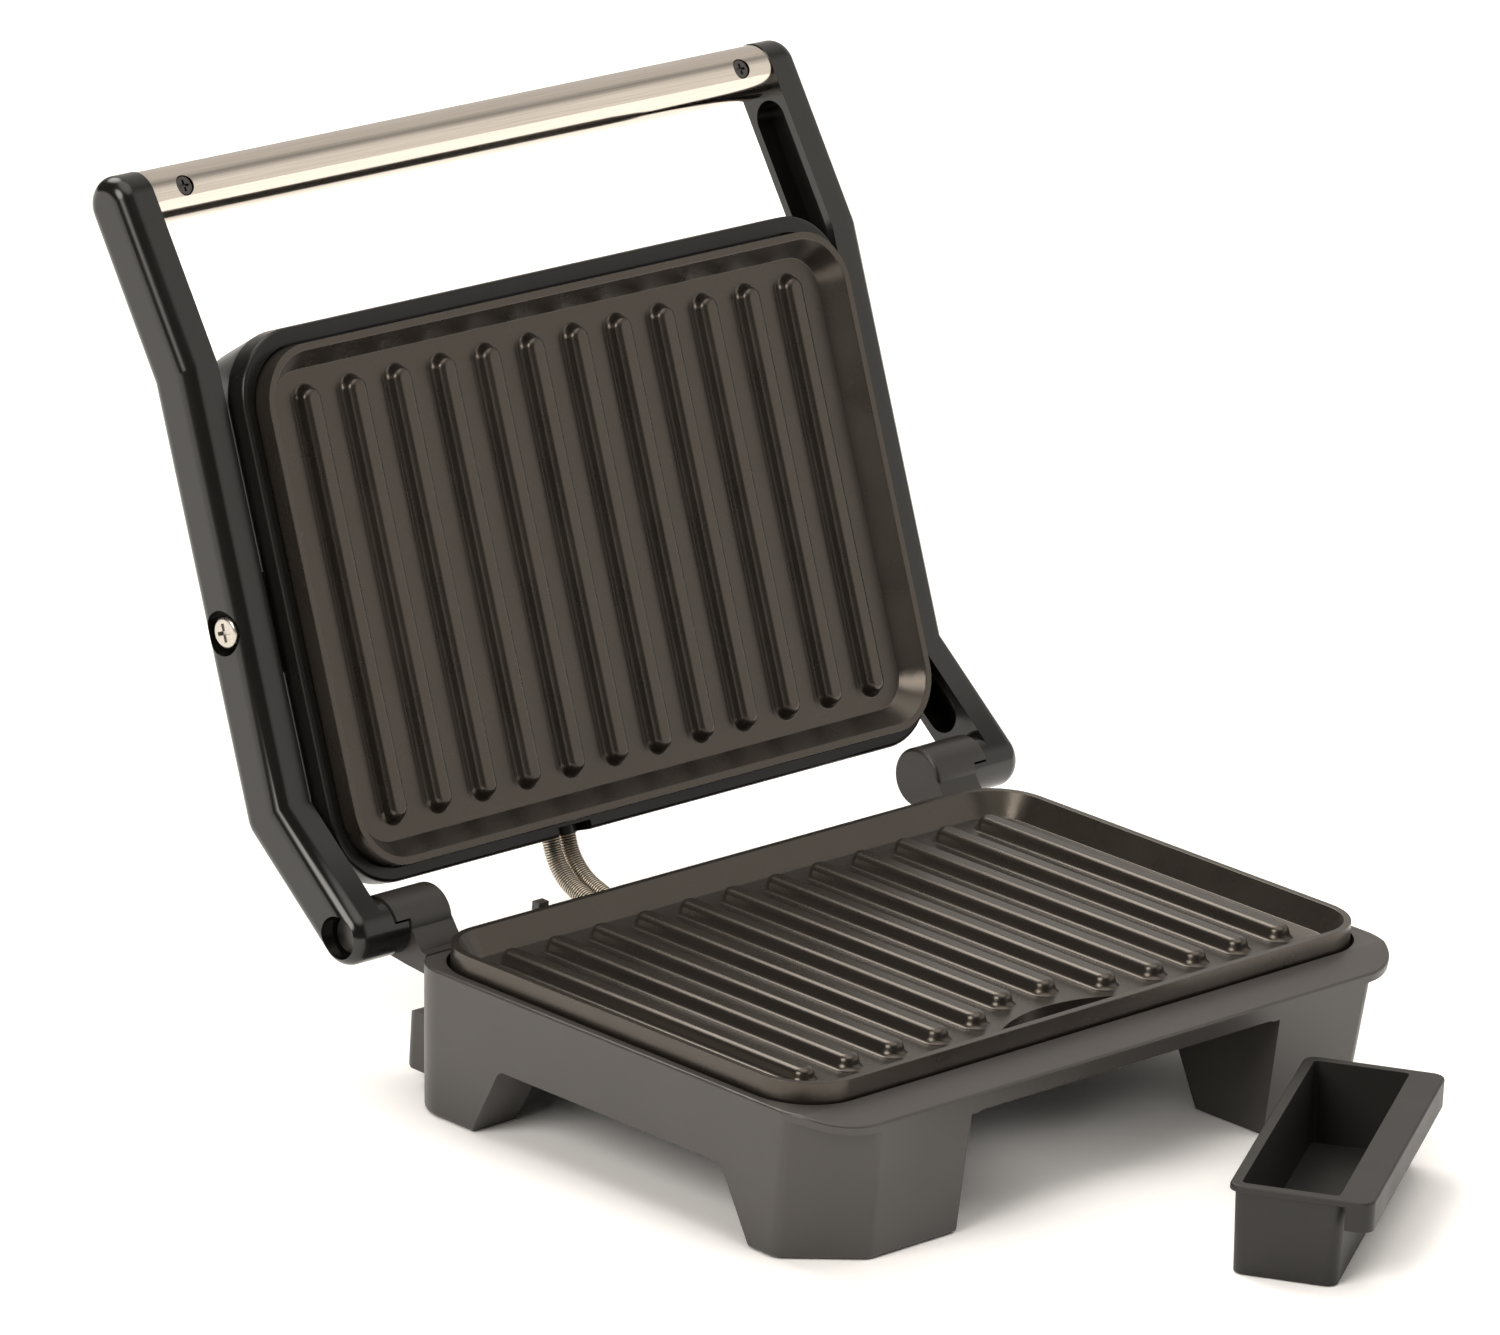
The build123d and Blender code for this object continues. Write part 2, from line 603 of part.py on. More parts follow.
def base_cover():
    """Bottom cover between the legs, behind the tray bay."""
    z1 = ARCH_Z + COVER_T
    far = BASE_HALF + 20
    sheet = base_shape(WALL + 0.2, ARCH_Z, z1) & block(-far, far, -far, far, ARCH_Z, z1)
    sheet -= leg_prism(-0.2)
    sheet -= bay(WALL + 0.2)
    for x, y in cover_points():
        sheet -= rod_z(SCREW_D / 2 + 0.2, x, y, ARCH_Z - 1, z1 + 1)
    for i in range(-4, 5):
        sheet -= block(i * 14 - 2.5, i * 14 + 2.5, -16, 24, ARCH_Z - 1, z1 + 1)
    return sheet


def cover_screws():
    return ring_of(cover_points(), lambda x, y: screw(x, y, ARCH_Z, 1))


def rear_box():
    """Hollow box along the base's rear skirt."""
    half = REAR_BOX_W / 2
    y1 = BASE_REAR + REAR_BOX_D
    box = block(-half, half, BASE_REAR, y1, SKIRT_GAP, REAR_BOX_Z)
    box = rounded(box, box.faces().sort_by(Axis.Y)[-1].edges(), (4.0, 2.0))
    box -= block(-half + WALL, half - WALL, BASE_REAR - 1, y1 - WALL, SKIRT_GAP + WALL, REAR_BOX_Z - WALL)
    x, z = gland_at()
    box -= Pos(x, y1, z) * Rot(90, 0, 0) * Cylinder(5.2, 12)
    return box


def gland_at():
    return REAR_BOX_W * 0.3, (SKIRT_GAP + REAR_BOX_Z) / 2


def cord_gland():
    """Bush in the rear box where a mains cord would enter."""
    x, z = gland_at()
    y1 = BASE_REAR + REAR_BOX_D
    flange = Pos(x, y1 + 1, z) * Rot(90, 0, 0) * Cylinder(7.0, 2)
    nut = Pos(x, y1 - WALL - 1.5, z) * Rot(90, 0, 0) * Cylinder(6.2, 3)
    neck = Pos(x, y1, z) * Rot(90, 0, 0) * Cylinder(5.0, GLAND_L)
    bore = Pos(x, y1, z) * Rot(90, 0, 0) * Cylinder(GLAND_BORE / 2, 3 * GLAND_L)
    return flange + nut + neck - bore


def terminal_block():
    z = ARCH_Z + COVER_T
    y = OPEN_REAR + 6.0
    box = block(34, 70, y - 5.5, y + 5.5, z, z + 10)
    for i in range(3):
        box -= rod_z(2.4, 41 + 11 * i, y, z + 4, z + 11)
    return box


# Hinge: base barrel with a tooth, arm barrel with its own tooth between

TOOTH_START = 33.0       # degrees, measured up from the back
TOOTH_PLAY = 4.0         # left between the teeth at either end of the travel
TOOTH = (360 - OPEN_ANGLE - 2 * TOOTH_PLAY) / 2


def sector(start, r, x0, x1):
    """Part of a barrel from angle start on, TOOTH degrees, seen along X."""
    a0 = math.radians(start)
    steps = 8
    pts = [(HINGE_Y, HINGE_Z)]
    for i in range(steps + 1):
        a = a0 + math.radians(TOOTH) * i / steps
        pts.append((HINGE_Y + 2 * r * math.cos(a), HINGE_Z + 2 * r * math.sin(a)))
    return rod_x(r, x0, x1, HINGE_Y, HINGE_Z) & prism_x(pts, x0, x1)


def hinge_bracket():
    """Right bracket on the base's back with its barrel."""
    r = BASE_BARREL_R
    root = BASE_REAR - CORNER_REAR / 2
    web = [(root, HINGE_Z - 1.22 * r), (HINGE_Y - 0.75 * r, HINGE_Z - 1.1 * r), (HINGE_Y, HINGE_Z - r),
           (HINGE_Y, HINGE_Z), (HINGE_Y - 0.9 * r, HINGE_Z + 0.2 * r), (BASE_REAR, HINGE_Z - 0.5 * r),
           (root, HINGE_Z - 0.6 * r)]
    post = prism_x(web, BARREL_IN, STEP_IN)
    post -= base_shape(0, 0, BASE_TOP)
    post &= block(BARREL_IN, STEP_IN, BASE_REAR - CORNER_REAR, HINGE_Y + r, 0, BASE_TOP) + block(
        BARREL_IN, STEP_IN, HALF_D + BASE_CLEAR, HINGE_Y + r, BASE_TOP - 1, HINGE_Z + r)
    barrel = rod_x(r, BARREL_IN, STEP_IN, HINGE_Y, HINGE_Z)
    barrel = rounded(barrel, barrel.faces().sort_by(Axis.X)[0].edges(), (1.2,))
    shape = post + barrel + sector(TOOTH_START, r, STEP_IN, STEP_OUT - STEP_GAP)
    return shape - rod_x(PIN_D / 2, BARREL_IN + 3, STEP_OUT + 1, HINGE_Y, HINGE_Z)


def hinge_pin():
    """Right hinge pin, pressed into the bracket, its head in the arm's recess."""
    seat = ARM_OUT - HINGE_RECESS
    pin = rod_x(PIN_D / 2, BARREL_IN + 3.5, seat, HINGE_Y, HINGE_Z)
    head = rod_x(PIN_HEAD_D / 2, seat + PIN_CLEAR, seat + PIN_HEAD_T, HINGE_Y, HINGE_Z)
    return pin + head + rod_x(PIN_D / 2, seat, seat + 1, HINGE_Y, HINGE_Z)


# Arms, drawn with the lid shut

LID_FACE = LID_SHIFT - HALF_D
ARM_LINE = [(HINGE_Y, HINGE_Z), (HINGE_Y - ELBOW_FWD, ARM_Z), (LID_FACE + TOP_ELBOW, ARM_Z),
            (LID_FACE - HANDLE_FWD, ARM_Z + HANDLE_RISE)]
HANDLE_AT = ARM_LINE[3]


def slot(p, q, width, cut_p=0.0, cut_q=0.0):
    """Round-ended strip from p to q in the Y-Z plane, shortened at the ends."""
    dy, dz = q[0] - p[0], q[1] - p[1]
    full = math.hypot(dy, dz)
    length = full - cut_p - cut_q
    mid = (cut_p + length / 2) / full
    turn = math.degrees(math.atan2(dz, dy))
    return Pos(p[0] + dy * mid, p[1] + dz * mid) * SlotCenterToCenter(length, width, rotation=turn)


def arm():
    """Right arm with barrel, pivot recess and handle spigot."""
    h, e1, e2, k = ARM_LINE
    face = slot(h, e1, ARM_DEPTH) + slot(e1, e2, ARM_DEPTH) + slot(e2, k, ARM_DEPTH)
    face += Pos(*h) * Circle(BARREL_R)
    body = extrude(Plane.YZ.offset(ARM_IN) * face, ARM_T)
    body = rounded(body, body.faces().sort_by(Axis.X)[-1].edges(), (ARM_ROUND, ARM_ROUND * 0.6))
    pivot = (LID_SHIFT, ARM_Z)
    w = ARM_DEPTH - 2 * ARM_WEB
    pocket = slot(h, e1, w, 19, 0) + slot(e1, pivot, w, 0, 17)
    pocket += slot(pivot, e2, w, 17, 0) + slot(e2, k, w, 0, 16)
    body -= extrude(Plane.YZ.offset(ARM_IN - 1) * pocket, ARM_POCKET + 1)
    body += rod_x(BARREL_R, STEP_OUT, ARM_IN + 0.5, *h)
    tooth = sector(TOOTH_START + TOOTH + TOOTH_PLAY, BARREL_R, STEP_IN + STEP_GAP, STEP_OUT + 0.5)
    body += tooth.rotate(HINGE, OPEN_ANGLE)
    body -= rod_x(PIN_D / 2 + PIN_RUN, STEP_IN - 1, ARM_OUT + 1, *h)
    body -= rod_x(HINGE_RECESS_D / 2, ARM_OUT - HINGE_RECESS, ARM_OUT + 1, *h)
    body -= rod_x(PIVOT_D / 2 + PIVOT_RUN, ARM_IN - 1, ARM_OUT + 1, *pivot)
    body -= rod_x(PIVOT_RECESS_D / 2, ARM_OUT - PIVOT_RECESS, ARM_OUT + 1, *pivot)
    r = HANDLE_D / 2 - HANDLE_WALL - SPIGOT_CLEAR
    body += rod_x(r, ARM_IN - SPIGOT_L, ARM_IN + 0.5, *k)
    body -= screw_frame() * rod_z(HANDLE_DIMPLE_D / 2, 0, 0, -HANDLE_D, -r + 1.4)
    body -= screw_frame() * rod_z(HANDLE_SCREW_D / 2, 0, 0, -HANDLE_D, r * 0.6)
    return body


def screw_frame():
    """Frame of the right handle screw, its Z axis square to the arm's top."""
    (y0, z0), (y1, z1) = ARM_LINE[2], ARM_LINE[3]
    turn = math.degrees(math.atan2(z1 - z0, y0 - y1))
    return Pos(ARM_IN - HANDLE_SCREW_IN, y1, z1) * Rot(-turn, 0, 0)


def handle_tube():
    tube = rod_x(HANDLE_D / 2, -ARM_IN, ARM_IN, *HANDLE_AT)
    tube -= rod_x(HANDLE_D / 2 - HANDLE_WALL, -ARM_IN - 1, ARM_IN + 1, *HANDLE_AT)
    return tube - both(screw_frame() * rod_z(HANDLE_DIMPLE_D / 2, 0, 0, -HANDLE_D, 0))


def handle_screw():
    r = HANDLE_D / 2 - HANDLE_WALL - SPIGOT_CLEAR - 1.4
    head = rod_z(HANDLE_SCREW_HEAD / 2, 0, 0, -r - 1.8, -r)
    head -= block(-1.8, 1.8, -0.4, 0.4, -r - 3, -r - 1.0)
    head -= block(-0.4, 0.4, -1.8, 1.8, -r - 3, -r - 1.0)
    return screw_frame() * (head + rod_z(HANDLE_SCREW_D / 2, 0, 0, -r, r * 0.5))


def pivot_screw():
    """Right shoulder screw that carries the lid."""
    seat = ARM_OUT - PIVOT_RECESS
    head = rod_x(PIVOT_HEAD_D / 2, seat + PIVOT_CLEAR, seat + PIVOT_HEAD_T, LID_SHIFT, ARM_Z)
    head = rounded(head, head.faces().sort_by(Axis.X)[-1].edges(), (1.2,))
    cut = seat + PIVOT_HEAD_T
    head -= block(cut - 1.2, cut + 1, LID_SHIFT - 2.8, LID_SHIFT + 2.8, ARM_Z - 0.6, ARM_Z + 0.6)
    head -= block(cut - 1.2, cut + 1, LID_SHIFT - 0.6, LID_SHIFT + 0.6, ARM_Z - 2.8, ARM_Z + 2.8)
    return head + rod_x(PIVOT_D / 2, LID_HALF - 14, seat + 1, LID_SHIFT, ARM_Z)


# Lid: frame with the plate's seat, and cover snapped over it

def lid_frame():
    z_seat = UPPER_RIM_Z + UP_DROP
    y = (LID_Y0 + LID_Y1) / 2
    ring = slab(2 * LID_HALF, LID_Y1 - LID_Y0, LID_CORNER, FRAME_Z, SPLIT_Z, y)
    ring = rounded(ring, ring.faces().sort_by(Axis.Z)[0].edges(), (1.2,))
    inner = 2 * (LID_WALL + 1.1)
    step = slab(2 * LID_HALF - inner, LID_Y1 - LID_Y0 - inner, LID_CORNER - inner / 2,
                SPLIT_Z - 1, SPLIT_Z + FRAME_STEP, y)
    inner += 2 * LID_WALL
    step -= slab(2 * LID_HALF - inner, LID_Y1 - LID_Y0 - inner, LID_CORNER - inner / 2,
                 SPLIT_Z, SPLIT_Z + FRAME_STEP + 1, y)
    ring += step
    ring -= slab(PLATE_W + 2 * SEAT_CLEAR, PLATE_D + 2 * SEAT_CLEAR, PLATE_R + SEAT_CLEAR,
                 FRAME_Z - 1, z_seat, LID_SHIFT)
    ring -= block(-OPEN_HALF, OPEN_HALF, LID_SHIFT + OPEN_FRONT, LID_SHIFT + OPEN_REAR,
                  FRAME_Z, SPLIT_Z + FRAME_STEP + 1)
    tab_x = LID_HALF - LID_WALL - COVER_INSET - 0.6
    tab = block(LID_HALF - 15, tab_x, LID_SHIFT - 9, LID_SHIFT + 9, SPLIT_Z - 1, ARM_Z + 8)
    ring += both(tab)
    ring -= both(rod_x(PIVOT_D / 2, 0, LID_HALF, LID_SHIFT, ARM_Z))
    for x, py in plate_points():
        ring -= rod_z(SCREW_D / 2 + 0.2, -x, py + LID_SHIFT, z_seat - 1, SPLIT_Z + FRAME_STEP + 1)
    side = SLEEVE_D / 2 + SLEEVE_PLAY
    ring -= block(HOSE_X[0] - side, HOSE_X[1] + side, LID_Y1 - NOTCH_D, LID_Y1 + 1, FRAME_Z - 1, SPLIT_Z + 1)
    return ring


def lid_cover():
    y = (LID_Y0 + LID_Y1) / 2
    w = 2 * LID_HALF
    d = LID_Y1 - LID_Y0

    def dome(t, z0, z1):
        low = Pos(0, y, z0) * RectangleRounded(w - 2 * t, d - 2 * t, LID_CORNER - t)
        k = 2 * (t + COVER_INSET)
        high = Pos(0, y, z1) * RectangleRounded(w - k, d - k, LID_CORNER - k / 2)
        return loft([low, high], ruled=True)

    shell = dome(0, SPLIT_Z, LID_TOP)
    shell = rounded(shell, shell.faces().sort_by(Axis.Z)[-1].edges(), (COVER_ROUND, COVER_ROUND / 2))
    shell -= dome(LID_WALL, SPLIT_Z - 0.01, LID_TOP - LID_WALL)
    pad = block(LID_HALF - LID_WALL - 2, ARM_IN - PAD_GAP, LID_SHIFT - PAD_L / 2, LID_SHIFT + PAD_L / 2,
                max(ARM_Z - PAD_H / 2, SPLIT_Z), ARM_Z + PAD_H / 2)
    shell += both(pad - dome(LID_WALL, SPLIT_Z - 0.01, LID_TOP - LID_WALL))
    shell -= both(rod_x(PIVOT_D / 2 + 0.2, LID_HALF - 20, ARM_IN, LID_SHIFT, ARM_Z))
    side = SLEEVE_D / 2 + SLEEVE_PLAY
    z = SPLIT_Z + HOSE_EXIT_Z
    hole = block(HOSE_X[0] - side, HOSE_X[1] + side, LID_Y1 - 8, LID_Y1 + 8, SPLIT_Z - 1, z)
    hole += block(*HOSE_X, LID_Y1 - 8, LID_Y1 + 8, SPLIT_Z - 1, z + side)
    for x in HOSE_X:
        hole += lid_rod(x, side, 16)
    return shell - hole


def lid_rod(x, r, length):
    """Round bar on the line along which a conduit leaves the shut lid."""
    return Pos(x, LID_Y1, SPLIT_Z + HOSE_EXIT_Z) * Rot(90, 0, 0) * Cylinder(r, length)


# Conduits

def conduit(x):
    start, way, knee, turn, into = [Vector(x, *p) for p in hose_line()]
    way = way - Vector(x, 0, 0)
    path = Line(start, knee) + TangentArc(knee, turn, tangent=way) + Line(turn, into)
    print("conduit arc radius", HOSE_BEND, "length", round(path.length, 1), "inlet height", round(into.Z, 2))
    count = int(path.length / HOSE_PITCH)
    faces = []
    for i in range(2 * count + 1):
        r = HOSE_D / 2 - HOSE_GROOVE * (1 - i % 2)
        t = i / (2 * count)
        faces.append(Plane(path @ t, x_dir=(1, 0, 0), z_dir=path % t) * Circle(r))
    hose = loft(faces, ruled=True)
    first = Plane(path @ 0, x_dir=(1, 0, 0), z_dir=path % 0)
    return hose - sweep(first * Circle(HOSE_BORE / 2), path)


def ferrule(x):
    """Smooth sleeve round a conduit where it leaves the lid."""
    sleeve = lid_rod(x, SLEEVE_D / 2, 2 * HOSE_IN) - lid_rod(x, HOSE_D / 2 + HOSE_PLAY, 4 * HOSE_IN)
    return sleeve & block(x - SLEEVE_D, x + SLEEVE_D, LID_Y1 - HOSE_IN, LID_Y1, 0, LID_TOP)


def inlet_bush(x):
    """Sleeve round a conduit where it enters the base."""
    sleeve = hose_rod(x, SLEEVE_D / 2, 10 * BUSH_L) - hose_rod(x, HOSE_D / 2 + HOSE_PLAY, 12 * BUSH_L)
    return sleeve & block(x - SLEEVE_D, x + SLEEVE_D, BASE_REAR - WALL, BASE_REAR + BUSH_L, 0, BASE_TOP)


# Drip tray

def drip_tray():
    half = TRAY_L / 2
    y0, y1 = -TRAY_W / 2, TRAY_W / 2
    draft = TRAY_H * math.tan(math.radians(TRAY_DRAFT))

    def well(t, z0, z1):
        faces = []
        for z in (z0, z1):
            d = t + draft * (1 - z / TRAY_H)
            x = half - TRAY_FLANGE + TRAY_WALL - d
            a, b = y0 + TRAY_LEDGE - TRAY_WALL + d, y1 - TRAY_FLANGE + TRAY_WALL - d
            faces.append(Pos(0, (a + b) / 2, z) * RectangleRounded(2 * x, b - a, 3.6 - t))
        return loft(faces, ruled=True)

    rim = slab(TRAY_L, TRAY_W, TRAY_R, TRAY_H - TRAY_APRON, TRAY_H)
    rim = rounded(rim, rim.faces().sort_by(Axis.Z)[-1].edges(), (0.8,))
    under = slab(TRAY_L - 2 * TRAY_WALL, TRAY_W - 2 * TRAY_WALL, TRAY_R - TRAY_WALL, 0, TRAY_H - TRAY_WALL)
    behind = block(-half - 1, half + 1, y0 + TRAY_RETURN, y1 + 1, 0, TRAY_H - TRAY_WALL)
    body = well(0, 0, TRAY_H) + (rim - under - behind)
    body -= well(TRAY_WALL, TRAY_WALL, TRAY_H + 0.01)
    return Pos(TRAY_AT[0], TRAY_AT[1], 0) * Rot(0, 0, TRAY_TURN) * body


def pair(shape):
    return Compound(children=[shape, mirror(shape, Plane.YZ)])


def build():
    right_arm = arm()
    bracket = hinge_bracket()
    return {
        "base_shell": base_shell(),
        "base_cover": base_cover(),
        "base_cover_screws": cover_screws(),
        "rear_box": rear_box(),
        "cord_gland": cord_gland(),
        "terminal_block": terminal_block(),
        "lower_plate": lower(cooking_plate(LOW_DROP, True)),
        "lower_element": lower(heating_element(LOW_DROP)),
        "lower_reflector": lower(reflector(LOW_DROP)),
        "lower_reflector_screws": lower(pan_screws(LOW_DROP)),
        "lower_plate_screws": lower(plate_screws(LOW_DROP)),
        "thermostat": lower(thermostat()),
        "thermal_fuse": lower(thermal_fuse()),
        "hinge_bracket_right": bracket,
        "hinge_bracket_left": mirror(bracket, Plane.YZ),
        "hinge_pins": pair(hinge_pin()),
        "inlet_bushes": Compound(children=[inlet_bush(x) for x in HOSE_X]),
        "right_arm": swing(right_arm),
        "left_arm": swing(mirror(right_arm, Plane.YZ)),
        "handle_tube": swing(handle_tube()),
        "handle_screws": swing(pair(handle_screw())),
        "pivot_screws": swing(pair(pivot_screw())),
        "lid_frame": swing(lid_frame()),
        "lid_cover": swing(lid_cover()),
        "upper_plate": upper(cooking_plate(UP_DROP, False)),
        "upper_element": upper(heating_element(UP_DROP)),
        "upper_reflector": upper(reflector(UP_DROP)),
        "upper_reflector_screws": upper(pan_screws(UP_DROP)),
        "upper_plate_screws": upper(plate_screws(UP_DROP)),
        "conduit_ferrules": swing(Compound(children=[ferrule(x) for x in HOSE_X])),
        "conduit_left": conduit(HOSE_X[0]),
        "conduit_right": conduit(HOSE_X[1]),
        "drip_tray": drip_tray(),
    }


os.makedirs("parts", exist_ok=True)
for name, shape in build().items():
    export_step(shape, "parts/" + name + ".step")
    box = shape.bounding_box()
    print(name, len(shape.solids()), round(shape.volume / 1000, 2), "cm3", box.min, box.max)
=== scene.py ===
import math

import bpy
from mathutils import Matrix, Vector


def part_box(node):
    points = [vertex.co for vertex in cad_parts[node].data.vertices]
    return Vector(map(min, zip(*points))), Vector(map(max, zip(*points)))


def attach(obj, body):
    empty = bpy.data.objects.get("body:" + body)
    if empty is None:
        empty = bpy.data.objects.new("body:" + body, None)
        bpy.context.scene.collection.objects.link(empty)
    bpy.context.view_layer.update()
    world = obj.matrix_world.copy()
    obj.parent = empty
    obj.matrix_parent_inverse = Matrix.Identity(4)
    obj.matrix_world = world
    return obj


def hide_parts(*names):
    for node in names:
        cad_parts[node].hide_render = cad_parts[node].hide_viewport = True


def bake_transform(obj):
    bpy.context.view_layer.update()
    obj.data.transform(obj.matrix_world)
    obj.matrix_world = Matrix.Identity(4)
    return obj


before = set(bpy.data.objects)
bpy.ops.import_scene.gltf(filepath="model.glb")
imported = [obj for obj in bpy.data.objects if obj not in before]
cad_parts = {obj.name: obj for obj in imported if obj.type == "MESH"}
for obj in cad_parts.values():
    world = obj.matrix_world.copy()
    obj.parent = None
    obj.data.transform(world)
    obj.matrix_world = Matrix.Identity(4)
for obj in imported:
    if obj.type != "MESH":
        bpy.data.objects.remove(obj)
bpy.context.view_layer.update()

bl_info = {
    "name": "Panini press",
    "version": (1, 0, 0),
    "blender": (4, 5, 0),
    "location": "View3D > Sidebar > Press",
    "description": "Finishes, softened edges, ribbed conduits and studio stage for a panini press",
    "category": "Object",
}

# Softening the edges of a node's copy, in metres and degrees
MERGE_NEAR = 2e-6        # points closer than this are one
FLAT_WITHIN = 0.6        # neighbours that bend less than this become one face
SHARP_OVER = 38          # edges that bend more than this are softened
EDGE_STEPS = 2

# Mouldings and castings that get softened edges:
# node, piece, body, slot in the record, finish, edge size in metres
DRESSED = {
    "base": (
        ("base_shell", "base_moulding", "base", "charcoal_plastic", "charcoal", 0.0005),
        ("rear_box", "rear_box_moulding", "base", "charcoal_plastic", "charcoal", 0.0004),
        ("base_cover", "bottom_cover_moulding", "base", "charcoal_plastic", "charcoal", 0.0003),
    ),
    "plates": (
        ("lower_plate", "lower_grill_plate", "base", "coated_plate", "coating", 0.0005),
        ("upper_plate", "upper_grill_plate", "lid", "coated_plate", "coating", 0.0005),
    ),
    "lid": (
        ("lid_frame", "lid_frame_moulding", "lid", "charcoal_plastic", "lid_black", 0.0004),
        ("lid_cover", "lid_back_moulding", "lid", "charcoal_plastic", "lid_black", 0.0005),
    ),
    "arms": (
        ("right_arm", "right_arm_moulding", "arms", "black_plastic", "arm_black", 0.0005),
        ("left_arm", "left_arm_moulding", "arms", "black_plastic", "arm_black", 0.0005),
    ),
    "hinges": (
        ("hinge_bracket_right", "right_hinge_moulding", "base", "black_plastic", "barrel_black", 0.0004),
        ("hinge_bracket_left", "left_hinge_moulding", "base", "black_plastic", "barrel_black", 0.0004),
    ),
    "tray": (
        ("drip_tray", "drip_tray_moulding", "tray", "charcoal_plastic", "tray_black", 0.0004),
    ),
}

# Nodes that keep their own shape and only take a finish
FINISHED = {
    "handle": (("handle_tube", "brushed_steel"), ("handle_screws", "dark_screw")),
    "fasteners": (
        ("pivot_screws", "bright_steel"),
        ("hinge_pins", "dark_screw"),
        ("base_cover_screws", "zinc"),
        ("lower_plate_screws", "zinc"),
        ("upper_plate_screws", "zinc"),
        ("lower_reflector_screws", "zinc"),
        ("upper_reflector_screws", "zinc"),
    ),
    "heaters": (
        ("lower_element", "heater_sheath"),
        ("upper_element", "heater_sheath"),
        ("lower_reflector", "mill_aluminium"),
        ("upper_reflector", "mill_aluminium"),
        ("thermostat", "zinc"),
        ("thermal_fuse", "zinc"),
        ("terminal_block", "white_plastic"),
        ("cord_gland", "barrel_black"),
    ),
    "conduits": (("conduit_ferrules", "charcoal"), ("inlet_bushes", "rubber")),
}


class PressFinish(bpy.types.PropertyGroup):
    """Colours and surface of the press."""

    charcoal: bpy.props.FloatVectorProperty(
        name="Base", description="Plastic of the base", subtype="COLOR",
        default=(0.050, 0.046, 0.042), min=0, max=1)
    arm_black: bpy.props.FloatVectorProperty(
        name="Arms", description="Plastic of the arms", subtype="COLOR",
        default=(0.008, 0.0074, 0.0066), min=0, max=1)
    lid_black: bpy.props.FloatVectorProperty(
        name="Lid", description="Plastic of the lid", subtype="COLOR",
        default=(0.008, 0.0074, 0.0066), min=0, max=1)
    barrel_black: bpy.props.FloatVectorProperty(
        name="Hinges", description="Plastic of the hinge barrels", subtype="COLOR",
        default=(0.024, 0.022, 0.020), min=0, max=1)
    tray_black: bpy.props.FloatVectorProperty(
        name="Tray", description="Plastic of the drip tray", subtype="COLOR",
        default=(0.016, 0.0148, 0.0132), min=0, max=1)
    coating: bpy.props.FloatVectorProperty(
        name="Plates", description="Non-stick coating", subtype="COLOR",
        default=(0.014, 0.012, 0.010), min=0, max=1)
    steel: bpy.props.FloatVectorProperty(
        name="Steel", description="Handle tube", subtype="COLOR",
        default=(0.67, 0.61, 0.54), min=0, max=1)
    grain: bpy.props.FloatProperty(
        name="Plastic grain", description="Size of the moulded grain", default=0.0004, unit="LENGTH",
        min=0.0001, max=0.002)
    soft_angle: bpy.props.FloatProperty(
        name="Smooth under", description="Faces that meet under this angle shade as one", subtype="ANGLE",
        default=math.radians(32), min=0, max=math.pi)


class PressConduit(bpy.types.PropertyGroup):
    """Ribbed metal conduits between lid and base."""

    diameter: bpy.props.FloatProperty(
        name="Diameter", description="Over the ribs", default=0.0056, unit="LENGTH", min=0.003, max=0.02)
    groove: bpy.props.FloatProperty(
        name="Groove", description="Depth between ribs", default=0.00034, unit="LENGTH",
        min=0.0001, max=0.002)
    wall: bpy.props.FloatProperty(
        name="Wall", description="Thickness of the strip", default=0.0006, unit="LENGTH",
        min=0.0002, max=0.002)
    ribs: bpy.props.IntProperty(
        name="Ribs", description="Ribs on one conduit", default=53, min=6, max=80)
    lid_ribs: bpy.props.IntProperty(
        name="Ribs at the lid", description="Ribs that follow the lid's own tilt", default=20, min=2, max=40)


class PressStage(bpy.types.PropertyGroup):
    """Camera and light."""

    lens: bpy.props.FloatProperty(
        name="Lens", description="Focal length on a 36 mm sensor", default=264.007, subtype="DISTANCE_CAMERA",
        min=20, max=600)
    floor_gain: bpy.props.FloatProperty(
        name="Floor white", description="How white the camera sees the lit floor", default=1.17,
        min=0.5, max=2)
    room: bpy.props.FloatProperty(
        name="Room", description="Strength of all the light", default=1.0, min=0, max=2)


def select_only(obj):
    bpy.ops.object.select_all(action="DESELECT")
    obj.select_set(True)
    bpy.context.view_layer.objects.active = obj


def apply_modifiers(obj):
    select_only(obj)
    for modifier in list(obj.modifiers):
        bpy.ops.object.modifier_apply(modifier=modifier.name)


